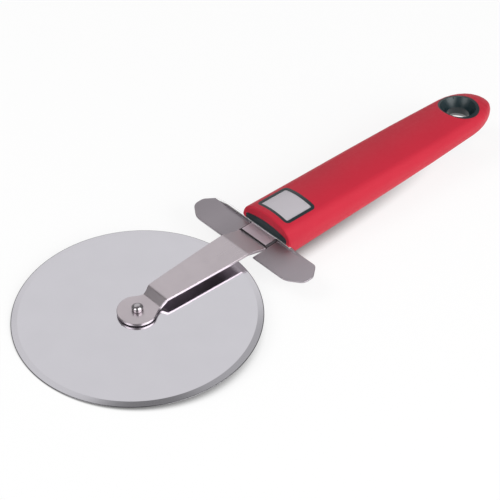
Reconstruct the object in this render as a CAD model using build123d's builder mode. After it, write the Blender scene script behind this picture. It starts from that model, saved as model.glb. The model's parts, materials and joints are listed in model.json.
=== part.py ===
from build123d import *
from math import atan, atan2, copysign, cos, degrees, pi, radians, sin, sqrt, tan
import os

# A pizza cutter wheel: a round blade on a cranked steel arm, a pressed finger guard and a two-shot handle.
# Lengths are in millimetres. The tool is drawn level, with its origin at the middle of the blade,
# +X towards the end of the handle and +Z square to the blade. At the end every piece is tipped nose
# down together, so that the tool lies on the table on its blade and on the front of its handle.

# Blade
blade_diameter = 95.0
blade_thickness = 1.0
grind_width = 2.5
edge_thickness = 0.2
blade_bore_gap = 0.05
blade_side_gap = 0.08

# Axle
shank_diameter = 3.4
bush_wall = 1.6
washer_thickness = 0.3
washer_diameter = 12.6
button_diameter = 4.4
button_height = 2.3
button_wall_height = 0.9
lower_head_diameter = 8.0
lower_head_height = 1.4

# Arm, from the eye back to the end of the tang
arm_sheet = 1.2
arm_bend_radius = 0.9
eye_diameter = 15.7
neck_blend_radius = 1.5
neck_width = 9.1
jog_start = 7.4
jog_end = 10.2
jog_rise = 2.6
crank_width = 10.4
shoulder_width = 15.1
ramp_start = 49.6
ramp_end = 59.0
tang_level = 0.65
tang_width = 12.8
tang_end = 138.0
tang_corner_radius = 3.0
tang_hole_diameter = 5.0
tang_hole_spacing = 26.0
tang_hole_setback = 14.0

# Guard
guard_sheet = 0.8
guard_front = 51.7
guard_rear = 66.2
guard_half_span = 32.0
guard_straight_inset = 11.0
guard_corner_inset = 4.8
guard_corner_setback = 1.4
guard_tip_front = 5.5
guard_tip_rear = 8.7
guard_rear_inset = 6.0
guard_corner_radius = 2.6
guard_sweep_radius = 12.0
guard_bend_radius = 0.5
bridge_rise = 0.8
lip_rise = 0.3
lip_start = 7.6
lip_ramp_length = 4.5
notch_gap = 0.3
tang_side_gap = 0.2

# Handle
handle_length = 132.6
handle_base_front = -7.5
handle_base_tail = -6.7
handle_crown_front = 10.2
handle_crown_tail = 5.6
handle_width_front = 27.2
handle_width_tail = 23.6
tail_length = 18.8
corner_radius_front = 7.0
corner_radius_tail = 4.4
crown_fall_share = 0.15
side_flat_least_share = 0.02
front_round = 0.7
skin_side = 2.0
skin_crown = 3.8
core_corner_radius = 1.5
body_station_shares = (0.0, 0.25, 0.5, 0.75, 1.0)
width_drop_shares = (0.0, 0.12, 0.19, 0.44, 1.0)
tail_turn_shares = (0.12, 0.24, 0.36, 0.48, 0.6, 0.72, 0.82, 0.91)
front_turn_shares = (0.0, 0.5)

# Badge
badge_setback = 2.9
badge_length = 16.4
badge_width = 17.6
badge_frame = 1.3
badge_corner_radius = 2.0
badge_frame_lip = 0.3
badge_plate_thickness = 0.5
badge_pad_thickness = 0.3
badge_side_gap = 0.05

# Hang hole
hang_hole_setback = 17.6
hang_hole_diameter = 10.0
hang_hole_land = 3.2
hang_hole_land_top = 0.6
mouth_diameter = 17.3
mouth_rim = 0.45
mouth_waist_share = 0.4

# How far a cutting solid runs past what it cuts
overrun = 1.0

# Heights and stations that follow from the sizes above
blade_radius = blade_diameter / 2
blade_top = blade_thickness / 2
washer_base = blade_top + blade_side_gap
eye_base = washer_base + washer_thickness
eye_top = eye_base + arm_sheet
shank_radius = shank_diameter / 2
bush_radius = shank_radius + bush_wall
crank_base = eye_base + jog_rise
ramp_turn = atan2(crank_base - tang_level, ramp_end - ramp_start)
ramp_flat = ramp_end + (arm_bend_radius + arm_sheet / 2) * tan(ramp_turn / 2)
tang_top = tang_level + arm_sheet
wing_base = tang_top - bridge_rise
wing_top = wing_base + guard_sheet
bridge_top = tang_top + guard_sheet
lip_top = bridge_top + lip_rise
channel_half = tang_width / 2 + tang_side_gap
bridge_half = channel_half + guard_sheet
notch_half = shoulder_width / 2 + notch_gap
handle_front = guard_rear
handle_end = handle_front + handle_length
tail_start = handle_end - tail_length
hang_hole_x = handle_end - hang_hole_setback
badge_front = handle_front + badge_setback
badge_centre = badge_front + badge_length / 2
badge_depth = badge_frame_lip + badge_plate_thickness + badge_pad_thickness
land_base = hang_hole_land_top - hang_hole_land
blade_clear = 2 * blade_radius


def half_width_at(share):
    """Half the handle's width, a share of the way from its front face to where its tail starts."""
    drop = (handle_width_front - handle_width_tail) / 2
    lower = max(i for i, station in enumerate(body_station_shares[:-1]) if station <= share)
    span = body_station_shares[lower + 1] - body_station_shares[lower]
    part_way = (share - body_station_shares[lower]) / span
    drop_share = width_drop_shares[lower] + part_way * (width_drop_shares[lower + 1] - width_drop_shares[lower])
    return handle_width_front / 2 - drop * drop_share


def handle_section(x, half_width, crown, base, corner_radius):
    """Draw the handle's cross-section at x: low arcs at crown and base, round corners and short flat sides.

    The crown arc falls by the same share of its half width at every x, so all arcs turn by the same angles.
    """
    middle = (crown + base) / 2
    flat_room = (1 - side_flat_least_share) * (crown - middle) - half_width * crown_fall_share
    corner = min(corner_radius, flat_room / (1 - crown_fall_share))
    turn = 2 * atan(crown_fall_share)
    half_turn = (turn + pi / 2) / 2
    corner_y = half_width - corner
    meet_y = corner_y + corner * sin(turn)
    meet_z = crown - meet_y * crown_fall_share
    corner_z = meet_z - corner * cos(turn)
    bulge_y = corner_y + corner * sin(half_turn)
    bulge_z = corner_z + corner * cos(half_turn)
    with BuildSketch(Plane.YZ.offset(x)) as section:
        with BuildLine():
            ThreePointArc((-meet_y, meet_z), (0, crown), (meet_y, meet_z))
            ThreePointArc((meet_y, meet_z), (bulge_y, bulge_z), (half_width, corner_z))
            Line((half_width, corner_z), (half_width, 2 * middle - corner_z))
            ThreePointArc((half_width, 2 * middle - corner_z), (bulge_y, 2 * middle - bulge_z),
                          (meet_y, 2 * middle - meet_z))
            ThreePointArc((meet_y, 2 * middle - meet_z), (0, base), (-meet_y, 2 * middle - meet_z))
            ThreePointArc((-meet_y, 2 * middle - meet_z), (-bulge_y, 2 * middle - bulge_z),
                          (-half_width, 2 * middle - corner_z))
            Line((-half_width, 2 * middle - corner_z), (-half_width, corner_z))
            ThreePointArc((-half_width, corner_z), (-bulge_y, bulge_z), (-meet_y, meet_z))
        make_face()
    return section.sketch


def handle_form(side_wall, crown_wall, corner_front, corner_tail, edge_round, label):
    """Loft the handle's outer form, drawn in by a wall at the sides, base and tail and one at the crown.

    Its front edge is turned in by a quarter round where edge_round isn't zero.
    """
    body_length = tail_start - handle_front
    crown_slope = (handle_crown_tail - handle_crown_front) / body_length
    base_slope = (handle_base_tail - handle_base_front) / body_length
    crown_start = handle_crown_front - crown_wall
    base_start = handle_base_front + side_wall
    half_widths = [half_width_at(share) - side_wall for share in body_station_shares]
    sections = []
    if edge_round:
        for share in front_turn_shares:
            inset = edge_round * (1 - sin(share * pi / 2))
            sections.append(handle_section(handle_front + edge_round * (1 - cos(share * pi / 2)),
                                           half_widths[0] - inset, crown_start - inset, base_start + inset,
                                           corner_front - inset))
    for share, half_width in zip(body_station_shares, half_widths):
        run = share * body_length
        sections.append(handle_section(handle_front + max(run, edge_round), half_width,
                                       crown_start + crown_slope * run, base_start + base_slope * run,
                                       corner_front + share * (corner_tail - corner_front)))
    last_step = half_widths[-1] - half_widths[-2]
    step_before = half_widths[-2] - half_widths[-3]
    last_span = (body_station_shares[-1] - body_station_shares[-2]) * body_length
    side_slope = (last_step + (last_step - step_before) / 2) / last_span
    for share in tail_turn_shares:
        left = cos(share * pi / 2)
        reach = sin(share * pi / 2) / sin(tail_turn_shares[-1] * pi / 2)
        run = (tail_length - side_wall) * reach
        crown = handle_crown_tail + crown_slope * run - crown_wall
        base = handle_base_tail + base_slope * run + side_wall
        middle = (crown + base) / 2
        half_width = (half_widths[-1] + side_slope * run) * left
        sections.append(handle_section(tail_start + run, half_width, middle + (crown - middle) * left,
                                       middle + (base - middle) * left, corner_tail * left))
    with BuildPart() as form:
        loft(sections, ruled=True)
    form.part.label = label
    return form.part


def cap_arc(rim, crown):
    """The circular arc of a round head, from a point on its rim to the crown on its axis."""
    radius, rise = rim[0], crown[1] - rim[1]
    ball = (radius ** 2 + rise ** 2) / (2 * rise)
    shoulder_fall = ball - copysign(sqrt(ball ** 2 - (radius / 2) ** 2), ball)
    return ThreePointArc(rim, (radius / 2, crown[1] - shoulder_fall), crown)


# Blade: a flat disc ground to an edge from both faces
with BuildPart() as blade:
    with BuildSketch(Plane.XZ):
        with BuildLine():
            bore_radius = bush_radius + blade_bore_gap
            Polyline((bore_radius, -blade_top), (blade_radius - grind_width, -blade_top),
                     (blade_radius, -edge_thickness / 2), (blade_radius, edge_thickness / 2),
                     (blade_radius - grind_width, blade_top), (bore_radius, blade_top), close=True)
        make_face()
    revolve(axis=Axis.Z)
blade.part.label = "blade"

# Bush: the sleeve that the blade turns on, clamped between the washers
with BuildPart() as axle_bush:
    with BuildSketch(Plane.XY.offset(-washer_base)):
        Circle(bush_radius)
        Circle(shank_radius, mode=Mode.SUBTRACT)
    extrude(amount=2 * washer_base)
axle_bush.part.label = "axle_bush"

# Washers: thin rings that keep the blade off the arm's eye and off the rivet's lower head
with BuildPart() as upper_washer:
    with BuildSketch(Plane.XY.offset(washer_base)):
        Circle(washer_diameter / 2)
        Circle(shank_radius, mode=Mode.SUBTRACT)
    extrude(amount=washer_thickness)
upper_washer.part.label = "upper_washer"

with BuildPart() as lower_washer:
    add(mirror(upper_washer.part, about=Plane.XY))
lower_washer.part.label = "lower_washer"

# Rivet: a shank between a low round head under the blade and the domed button above the eye
with BuildPart() as axle_rivet:
    with BuildSketch(Plane.XZ):
        with BuildLine():
            head_radius = lower_head_diameter / 2
            button_radius = button_diameter / 2
            head_face = (shank_radius, -eye_base)
            head_rim = (head_radius, -eye_base)
            head_crown = (0, -eye_base - lower_head_height)
            button_foot = (button_radius, eye_top)
            wall_top = (button_radius, eye_top + button_wall_height)
            button_crown = (0, eye_top + button_height)
            cap_arc(head_rim, head_crown)
            Line(head_rim, head_face)
            Line(head_face, (shank_radius, eye_top))
            Line((shank_radius, eye_top), button_foot)
            Line(button_foot, wall_top)
            cap_arc(wall_top, button_crown)
            Line(button_crown, head_crown)
        make_face()
    revolve(axis=Axis.Z)
axle_rivet.part.label = "axle_rivet"

# Arm: a strip bent to the side view, then blanked to the plan view
with BuildPart() as arm:
    with BuildSketch(Plane.XZ):
        half_sheet = arm_sheet / 2
        with BuildLine():
            FilletPolyline((-eye_diameter / 2, eye_base + half_sheet), (jog_start, eye_base + half_sheet),
                           (jog_end, crank_base + half_sheet), (ramp_start, crank_base + half_sheet),
                           (ramp_end, tang_level + half_sheet), (tang_end, tang_level + half_sheet),
                           radius=arm_bend_radius + half_sheet)
        trace(line_width=arm_sheet)
    extrude(amount=eye_diameter, both=True)
    with BuildSketch(Plane.XY) as plan:
        Circle(eye_diameter / 2)
        with BuildLine():
            right = [(0, -neck_width / 2), (jog_start, -neck_width / 2), (jog_end, -crank_width / 2),
                     (ramp_start, -shoulder_width / 2), (ramp_flat, -shoulder_width / 2),
                     (ramp_flat, -tang_width / 2), (tang_end, -tang_width / 2)]
            Polyline(*right, *[(x, -y) for x, y in reversed(right)], close=True)
        make_face()
        eye_junctions = plan.vertices().filter_by_position(Axis.X, 0, jog_start, inclusive=(False, False))
        neck_straight = jog_start - sqrt((eye_diameter ** 2 - neck_width ** 2) / 4)
        fillet(eye_junctions, radius=min(neck_blend_radius, 1.6 * neck_straight))
        fillet(plan.vertices().group_by(Axis.X)[-1], radius=tang_corner_radius)
    extrude(amount=blade_clear, both=True, mode=Mode.INTERSECT)
    Hole(shank_radius)
    with Locations((tang_end - tang_hole_setback, 0, tang_top),
                   (tang_end - tang_hole_setback - tang_hole_spacing, 0, tang_top)):
        Hole(tang_hole_diameter / 2)
arm.part.label = "arm"

# Guard: a pressed plate with a notch, a bridge over the tang and a lip turned up along its rear edges
with BuildSketch() as guard_blank:
    with BuildLine():
        left_side = [(guard_front, guard_half_span - guard_straight_inset),
                     (guard_front + guard_corner_setback, guard_half_span - guard_corner_inset),
                     (guard_front + guard_tip_front, guard_half_span),
                     (guard_front + guard_tip_rear, guard_half_span),
                     (guard_rear, guard_half_span - guard_rear_inset)]
        Polyline(*left_side, *[(x, -y) for x, y in reversed(left_side)], close=True)
    make_face()
    fillet(guard_blank.vertices().group_by(Axis.X)[0], radius=guard_sweep_radius)
    tip_corners = guard_blank.vertices().filter_by_position(Axis.X, guard_front + guard_corner_setback / 2,
                                                            guard_rear - guard_sheet)
    fillet(tip_corners, radius=guard_corner_radius)

with BuildPart() as guard:
    with BuildSketch(Plane.XY.offset(wing_base)):
        add(guard_blank.sketch)
    extrude(amount=guard_sheet)
    with BuildSketch(Plane.XY.offset(wing_base)):
        add(guard_blank.sketch)
        offset(guard_blank.sketch, amount=-guard_sheet, mode=Mode.SUBTRACT)
        with Locations((guard_front + lip_start, 0)):
            Rectangle(guard_rear - guard_front - lip_start, 2 * guard_half_span,
                      align=(Align.MIN, Align.CENTER), mode=Mode.INTERSECT)
    extrude(amount=lip_top - wing_base)
    with BuildSketch(Plane.XZ):
        with BuildLine():
            lip_foot = (guard_front + lip_start, wing_top)
            lip_ramp_top = (guard_front + lip_start + lip_ramp_length, lip_top)
            Polyline(lip_foot, lip_ramp_top, (guard_front + lip_start, lip_top), close=True)
        make_face()
    extrude(amount=guard_half_span, both=True, mode=Mode.SUBTRACT)
    with BuildSketch(Plane.YZ.offset(ramp_flat)) as bridge:
        with Locations((0, wing_base)):
            Rectangle(2 * bridge_half, bridge_top - wing_base, align=(Align.CENTER, Align.MIN))
        fillet(bridge.vertices().group_by(Axis.Y)[-1], radius=guard_bend_radius)
    extrude(amount=guard_rear - ramp_flat)
    with BuildSketch(Plane.XY.offset(wing_base)):
        with Locations((ramp_flat, 0)):
            Rectangle(guard_rear - ramp_flat, 2 * channel_half, align=(Align.MIN, Align.CENTER))
    extrude(amount=bridge_rise, mode=Mode.SUBTRACT)
    with BuildSketch(Plane.XY.offset(wing_base)):
        with Locations((guard_front, 0)):
            Rectangle(ramp_flat - guard_front, 2 * notch_half, align=(Align.MIN, Align.CENTER))
    extrude(amount=bridge_top, mode=Mode.SUBTRACT)
guard.part.label = "guard"

# Handle forms: the outside, the core inside the skin, and the levels of the badge's recess
outer_form = handle_form(0, 0, corner_radius_front, corner_radius_tail, front_round, "outer_form")
core_form = handle_form(skin_side, skin_crown, core_corner_radius, core_corner_radius, 0, "core_form")
plate_top_form, pad_top_form, recess_form = [
    handle_form(depth, depth, corner_radius_front - depth, corner_radius_tail - depth, 0, label)
    for depth, label in ((badge_frame_lip, "plate_top_form"),
                         (badge_frame_lip + badge_plate_thickness, "pad_top_form"),
                         (badge_depth, "recess_form"))]

# Columns of the core that come up through the skin: round the badge and round the hang hole
with BuildPart() as core_columns:
    with BuildSketch(Plane.XY):
        with Locations((badge_centre, 0)):
            RectangleRounded(badge_length, badge_width, badge_corner_radius)
    extrude(amount=handle_crown_front + overrun)
    with BuildSketch(Plane.XY.offset(handle_base_front - overrun)):
        with Locations((hang_hole_x, 0)):
            Circle(mouth_diameter / 2 + mouth_rim)
    extrude(amount=handle_crown_front - handle_base_front + 2 * overrun)

with BuildPart() as column_ends:
    add(core_columns.part)
    add(outer_form, mode=Mode.INTERSECT)

# Badge window: the opening inside the frame, as deep as the plate, its pad and the frame's lip
with BuildPart() as badge_window:
    with BuildSketch(Plane.XY):
        with Locations((badge_centre, 0)):
            RectangleRounded(badge_length - 2 * badge_frame, badge_width - 2 * badge_frame,
                             badge_corner_radius - badge_frame)
    extrude(amount=handle_crown_front + overrun)

with BuildPart() as badge_recess:
    add(badge_window.part)
    add(recess_form, mode=Mode.SUBTRACT)

with BuildPart() as badge_blank:
    with BuildSketch(Plane.XY):
        with Locations((badge_centre, 0)):
            RectangleRounded(badge_length - 2 * (badge_frame + badge_side_gap),
                             badge_width - 2 * (badge_frame + badge_side_gap),
                             badge_corner_radius - badge_frame - badge_side_gap)
    extrude(amount=handle_crown_front + overrun)

with BuildPart() as badge_plate:
    add(badge_blank.part)
    add(plate_top_form, mode=Mode.INTERSECT)
    add(pad_top_form, mode=Mode.SUBTRACT)
badge_plate.part.label = "badge_plate"

with BuildPart() as badge_pad:
    add(badge_blank.part)
    add(pad_top_form, mode=Mode.INTERSECT)
    add(recess_form, mode=Mode.SUBTRACT)
badge_pad.part.label = "badge_pad"

# Hang hole: a round land that flares to a wide mouth on each face of the handle
with BuildPart() as hang_hole:
    with BuildSketch(Plane.XZ) as flare:
        with BuildLine():
            land_radius = hang_hole_diameter / 2
            mouth_radius = mouth_diameter / 2
            waist_radius = land_radius + (mouth_radius - land_radius) * mouth_waist_share
            ThreePointArc((land_radius, hang_hole_land_top),
                          (waist_radius, (hang_hole_land_top + handle_crown_tail) / 2),
                          (mouth_radius, handle_crown_tail))
            Polyline((mouth_radius, handle_crown_tail), (mouth_radius, handle_crown_tail + overrun),
                     (0, handle_crown_tail + overrun), (0, handle_base_tail - overrun),
                     (mouth_radius, handle_base_tail - overrun), (mouth_radius, handle_base_tail))
            ThreePointArc((mouth_radius, handle_base_tail), (waist_radius, (land_base + handle_base_tail) / 2),
                          (land_radius, land_base))
            Line((land_radius, land_base), (land_radius, hang_hole_land_top))
        make_face()
    revolve(axis=Axis.Z)
hang_hole.part.label = "hang_hole"

# Core: the hard moulding round the tang
with BuildPart() as handle_core:
    add(core_form)
    add(column_ends.part)
    add(badge_recess.part, mode=Mode.SUBTRACT)
    add(hang_hole.part.moved(Location((hang_hole_x, 0, 0))), mode=Mode.SUBTRACT)
    add(arm.part, mode=Mode.SUBTRACT)
handle_core.part.label = "handle_core"

# Skin: the soft grip moulded over the core, open at the front face, the badge and the hang hole
with BuildPart() as grip_skin:
    add(outer_form)
    add(core_form, mode=Mode.SUBTRACT)
    add(core_columns.part, mode=Mode.SUBTRACT)
grip_skin.part.label = "grip_skin"

pieces = [blade.part, axle_bush.part, upper_washer.part, lower_washer.part, axle_rivet.part, arm.part,
          guard.part, handle_core.part, grip_skin.part, badge_plate.part, badge_pad.part]

# Rest: the flat of the blade, where the grind starts, and the base behind the handle's front touch the table
rest_run = handle_front + front_round + blade_radius - grind_width
rest_drop = -handle_base_front - blade_top
nose_angle = degrees(atan2(rest_drop, rest_run))
tipped = [piece.moved(Location((0, 0, 0), (0, -nose_angle, 0))) for piece in pieces]
boxes = [piece.bounding_box() for piece in tipped]
middle_x = (min(box.min.X for box in boxes) + max(box.max.X for box in boxes)) / 2
lift = (blade_radius - grind_width) * sin(radians(nose_angle)) + blade_top * cos(radians(nose_angle))
rest = Location((-middle_x, 0, lift), (0, -nose_angle, 0))

os.makedirs("parts", exist_ok=True)
for piece in pieces:
    export_step(piece.moved(rest), f"parts/{piece.label}.step")

print(f"nose angle {nose_angle:.4f} degrees, lift {lift:.4f}, middle {middle_x:.4f}")
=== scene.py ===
import json
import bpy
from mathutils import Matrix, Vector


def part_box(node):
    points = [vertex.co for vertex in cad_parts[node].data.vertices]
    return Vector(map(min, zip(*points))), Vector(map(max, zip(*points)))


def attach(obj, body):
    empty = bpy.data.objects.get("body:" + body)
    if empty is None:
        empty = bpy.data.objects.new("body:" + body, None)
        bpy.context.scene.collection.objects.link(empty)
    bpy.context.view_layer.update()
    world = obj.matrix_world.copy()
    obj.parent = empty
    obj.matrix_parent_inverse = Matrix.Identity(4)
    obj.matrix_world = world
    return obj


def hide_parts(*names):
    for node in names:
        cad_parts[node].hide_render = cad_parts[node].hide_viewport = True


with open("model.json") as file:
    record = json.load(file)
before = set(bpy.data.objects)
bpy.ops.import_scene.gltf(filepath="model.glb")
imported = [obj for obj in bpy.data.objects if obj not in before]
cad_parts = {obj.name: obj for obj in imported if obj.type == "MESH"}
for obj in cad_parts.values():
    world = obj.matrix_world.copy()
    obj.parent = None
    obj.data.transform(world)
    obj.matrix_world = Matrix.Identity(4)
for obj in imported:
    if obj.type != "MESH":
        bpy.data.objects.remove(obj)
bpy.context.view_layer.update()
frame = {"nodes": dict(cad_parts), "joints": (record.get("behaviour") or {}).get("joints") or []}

from types import SimpleNamespace

import bmesh
import bpy
import numpy as np
from bpy.props import FloatProperty, PointerProperty, StringProperty
from mathutils import Matrix, Vector

bl_info = {
    "name": "Pizza Cutter Wheel",
    "version": (1, 0, 0),
    "blender": (4, 5, 0),
    "location": "View3D > Sidebar > Pizza Cutter",
    "description": "Dresses a pizza cutter wheel: blade, cranked arm, finger guard and soft-grip handle",
    "category": "Object",
}

# Shapes are worked out in millimetres on the level tool: its origin is at the blade's centre, X runs along
# the tool to the handle, Y across it and Z up, square to the blade.
MM = 0.001
SPIN = frame["joints"][0]
AXLE = np.array(SPIN["pos_m"])
UPRIGHT = np.array(SPIN["axis"]) / np.linalg.norm(SPIN["axis"])
ACROSS = np.array([0.0, 1.0, 0.0])
ALONG = np.cross(ACROSS, UPRIGHT)


def to_table(points):
    """Carry points in millimetres from the level tool to the tool as it lies on the table, in metres."""
    points = np.asarray(points, float)
    return AXLE + MM * (points[..., :1] * ALONG + points[..., 1:2] * ACROSS + points[..., 2:] * UPRIGHT)


def blade_radius_default():
    """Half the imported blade's width, in millimetres."""
    low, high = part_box("blade")
    return (high.y - low.y) / 2 / MM


def length(name, description, millimetres):
    """A length property: its default is given in millimetres and kept in Blender's metres."""
    return FloatProperty(name=name, description=description, default=millimetres * MM, unit="LENGTH")


class BladeSizes(bpy.types.PropertyGroup):
    radius: length("Radius", "Radius of the wheel", blade_radius_default())
    thickness: length("Thickness", "Thickness of the disc", 1.0)
    grind: length("Grind", "Width of the ground band", 2.5)
    edge: length("Edge", "Thickness of the cutting edge", 0.2)
    bore: length("Bore", "Radius of the centre bore", 3.35)
    steel: StringProperty(name="Steel", description="Colour of the polished disc", default="#D1CFD5")


class RivetSizes(bpy.types.PropertyGroup):
    button_radius: length("Button radius", "Radius of the button", 2.2)
    button_foot: length("Button foot", "Height where the button leaves the eye", 2.08)
    wall_top: length("Wall top", "Height where the button's dome starts", 3.55)
    button_top: length("Button top", "Height of the button's crown", 4.38)
    head_radius: length("Head radius", "Radius of the lower head", 4.0)
    head_height: length("Head height", "Height of the lower head", 1.4)
    head_depth: length("Head depth", "Depth of the lower head's face below the blade's middle", 0.88)
    shank: length("Shank", "Radius of the shank", 1.7)
    steel: StringProperty(name="Steel", description="Colour of the turned steel", default="#B4AFB3")
    plating: StringProperty(name="Plating", description="Colour of the bush and washers", default="#C6C4C0")


class ArmSizes(bpy.types.PropertyGroup):
    sheet: length("Sheet", "Thickness of the strip", 1.2)
    eye_radius: length("Eye radius", "Radius of the eye", 7.85)
    eye_base: length("Eye base", "Height of the eye's underside", 0.88)
    crank_base: length("Crank base", "Height of the crank's underside", 3.48)
    tang_base: length("Tang base", "Height of the tang's underside", 0.65)
    jog_start: length("Jog start", "Where the jog starts", 7.4)
    jog_end: length("Jog end", "Where the jog ends", 10.2)
    ramp_start: length("Ramp start", "Where the ramp starts", 49.6)
    ramp_end: length("Ramp end", "Where the ramp ends", 59.0)
    tang_end: length("Tang end", "Where the tang ends, inside the handle's front", 70.0)
    neck: length("Neck", "Width at the foot of the jog", 10.0)
    crank: length("Crank", "Width at the top of the jog", 11.2)
    shoulder: length("Shoulder", "Width at the ramp", 15.1)
    tang: length("Tang", "Width under the guard", 12.8)
    bend: length("Bend", "Radius of the bends' middle line", 1.5)
    edge: length("Edge", "Rounding of the sheared edges", 0.22)
    steel: StringProperty(name="Steel", description="Colour of the rolled steel", default="#C6BDC2")


class GuardSizes(bpy.types.PropertyGroup):
    sheet: length("Sheet", "Thickness of the pressed sheet", 0.8)
    front: length("Front", "Where the front edge is", 51.7)
    rear: length("Rear", "Where the rear edge is", 66.2)
    front_half: length("Front half", "Half the front edge's width", 25.5)
    half_span: length("Half span", "Half the width over the tips", 31.9)
    rear_half: length("Rear half", "Half the rear edge's width", 28.0)
    tip_start: length("Tip start", "From the front edge to where a tip starts", 4.6)
    tip_end: length("Tip end", "From the front edge to where a tip ends", 9.5)
    notch_end: length("Notch end", "Where the notch for the arm ends", 59.22)
    notch_half: length("Notch half", "Half the notch's width", 7.85)
    bridge_half: length("Bridge half", "Half the bridge's width", 7.4)
    wing_base: length("Wing base", "Height of the wings' underside", 1.05)
    bridge_rise: length("Bridge rise", "Rise of the bridge", 0.8)
    lip_top: length("Lip top", "Height of the upturned lip", 2.95)
    lip_start: length("Lip start", "Where the lip starts to rise", 59.3)
    lip_full: length("Lip full", "Where the lip has its full height", 63.8)
    edge: length("Edge", "Rounding of the sheared edges", 0.18)
    steel: StringProperty(name="Steel", description="Colour of the pressed steel", default="#A69FA5")


class HandleColours(bpy.types.PropertyGroup):
    skin: StringProperty(name="Skin", description="Colour of the soft skin", default="#C6263B")
    core: StringProperty(name="Core", description="Colour of the hard core", default="#12262B")
    plate: StringProperty(name="Plate", description="Colour of the badge plate", default="#D5D0D6")
    foam: StringProperty(name="Foam", description="Colour of the badge's adhesive pad", default="#2A2A2A")


def in_millimetres(group):
    """A group's lengths in millimetres, rounded where single precision ends, and its colours as they are."""
    values = {name: getattr(group, name) for name in type(group).__annotations__}
    return SimpleNamespace(**{name: round(value / MM, 5) if isinstance(value, float) else value
                              for name, value in values.items()})


def add_mesh(name, points, faces, body, node):
    """Make one closed piece from points in millimetres and faces, welded and with its normals outwards."""
    weld, sliver = 0.002 * MM, 0.001 * MM
    mesh = bpy.data.meshes.new(name)
    mesh.from_pydata(to_table(points).tolist(), [], faces)
    work = bmesh.new()
    work.from_mesh(mesh)
    bmesh.ops.remove_doubles(work, verts=work.verts, dist=weld)
    bmesh.ops.dissolve_degenerate(work, edges=work.edges, dist=sliver)
    bmesh.ops.delete(work, geom=[point for point in work.verts if not point.link_faces], context="VERTS")
    bmesh.ops.recalc_face_normals(work, faces=work.faces)
    for face in work.faces:
        face.smooth = True
    work.to_mesh(mesh)
    work.free()
    piece = bpy.data.objects.new(name, mesh)
    bpy.context.scene.collection.objects.link(piece)
    weigh = piece.modifiers.new("Weighted normals", "WEIGHTED_NORMAL")
    weigh.keep_sharp = True
    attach(piece, body)
    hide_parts(node)
    return piece


def grid_faces(rows, columns, wrap_rows=False, wrap_columns=False):
    """Quads between neighbouring rows and columns of a grid of points, which may close on itself."""
    row = np.arange(rows if wrap_rows else rows - 1)[:, None]
    column = np.arange(columns if wrap_columns else columns - 1)[None, :]
    next_row, next_column = (row + 1) % rows, (column + 1) % columns
    quads = np.stack([row * columns + column, row * columns + next_column,
                      next_row * columns + next_column, next_row * columns + column], -1)
    return quads.reshape(-1, 4).tolist()


def slab_faces(kept):
    """Faces of a slab whose top and base are two grids of points, one after the other.

    The mask says which cells of the grid are kept. Each kept cell has a top and a base, and there is a wall
    wherever a kept cell has no kept neighbour.
    """
    rows, columns = kept.shape[0] + 1, kept.shape[1] + 1
    count = rows * columns
    top = np.arange(count).reshape(rows, columns)
    cells = np.stack([top[:-1, :-1], top[:-1, 1:], top[1:, 1:], top[1:, :-1]], -1)[kept]
    around = np.pad(kept, 1)
    along = around[:-1, 1:-1] != around[1:, 1:-1]
    across = around[1:-1, :-1] != around[1:-1, 1:]
    starts = np.concatenate([top[:, :-1][along], top[:-1, :][across]])
    ends = np.concatenate([top[:, 1:][along], top[1:, :][across]])
    walls = np.stack([starts, ends, ends + count, starts + count], -1)
    return np.concatenate([cells, cells[:, ::-1] + count, walls]).tolist()


def rounded_outline(corners, radii, steps=12):
    """An outline whose corners are circle arcs: each arc touches both sides of its corner."""
    corners = np.asarray(corners, float)
    turn = np.linspace(0, 1, steps)[:, None]
    parts = []
    for i, radius in enumerate(radii):
        sides = np.stack([corners[i - 1], corners[(i + 1) % len(corners)]]) - corners[i]
        sides /= np.linalg.norm(sides, axis=1)[:, None]
        half = np.arccos(sides[0] @ sides[1]) / 2
        middle = sides.sum(0) / np.linalg.norm(sides.sum(0))
        centre = corners[i] + middle * radius / np.sin(half)
        spokes = corners[i] + sides * radius / np.tan(half) - centre
        sweep = np.pi - 2 * half
        parts.append(centre + (np.sin((1 - turn) * sweep) * spokes[0] + np.sin(turn * sweep) * spokes[1])
                     / np.sin(sweep))
    return np.concatenate(parts)


def distance_to(line, x, y):
    """Distance from points to the nearest point of an open line of straight runs."""
    start, run = line[:-1], np.diff(line, axis=0)
    away = np.stack([x, y], -1)[..., None, :] - start
    share = np.clip((away * run).sum(-1) / np.maximum((run ** 2).sum(-1), 1e-12), 0, 1)
    return np.linalg.norm(away - share[..., None] * run, axis=-1).min(-1)


def ease(share):
    """A smooth step from 0 to 1 that starts and ends level: three share squares less two cubes."""
    share = np.clip(share, 0, 1)
    return share * share * (3 - 2 * share)


def smooth_line(x, knots):
    """A smooth curve through knots (x, value): cubic Hermite runs, whose slopes are central differences."""
    at, value = np.asarray(knots, float).T
    slope = np.gradient(value, at)
    run = np.clip(np.searchsorted(at, x) - 1, 0, len(at) - 2)
    step = at[run + 1] - at[run]
    t = np.clip((x - at[run]) / step, 0, 1)
    return (value[run] * (1 + 2 * t) * (1 - t) ** 2 + value[run + 1] * t ** 2 * (3 - 2 * t)
            + step * t * (1 - t) * (slope[run] * (1 - t) - slope[run + 1] * t))


def lathe(name, profile, body, node, turns, closed=True):
    """A surface of revolution about the axle: each profile point (radius, height) goes round in a circle."""
    radius, height = np.asarray(profile, float).T[..., None]
    angle = np.linspace(0, 2 * np.pi, turns, endpoint=False)
    points = np.stack([radius * np.cos(angle), radius * np.sin(angle), height + 0 * angle], -1)
    faces = grid_faces(len(profile), turns, wrap_rows=closed, wrap_columns=True)
    return add_mesh(name, points.reshape(-1, 3), faces, body, node)


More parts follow.
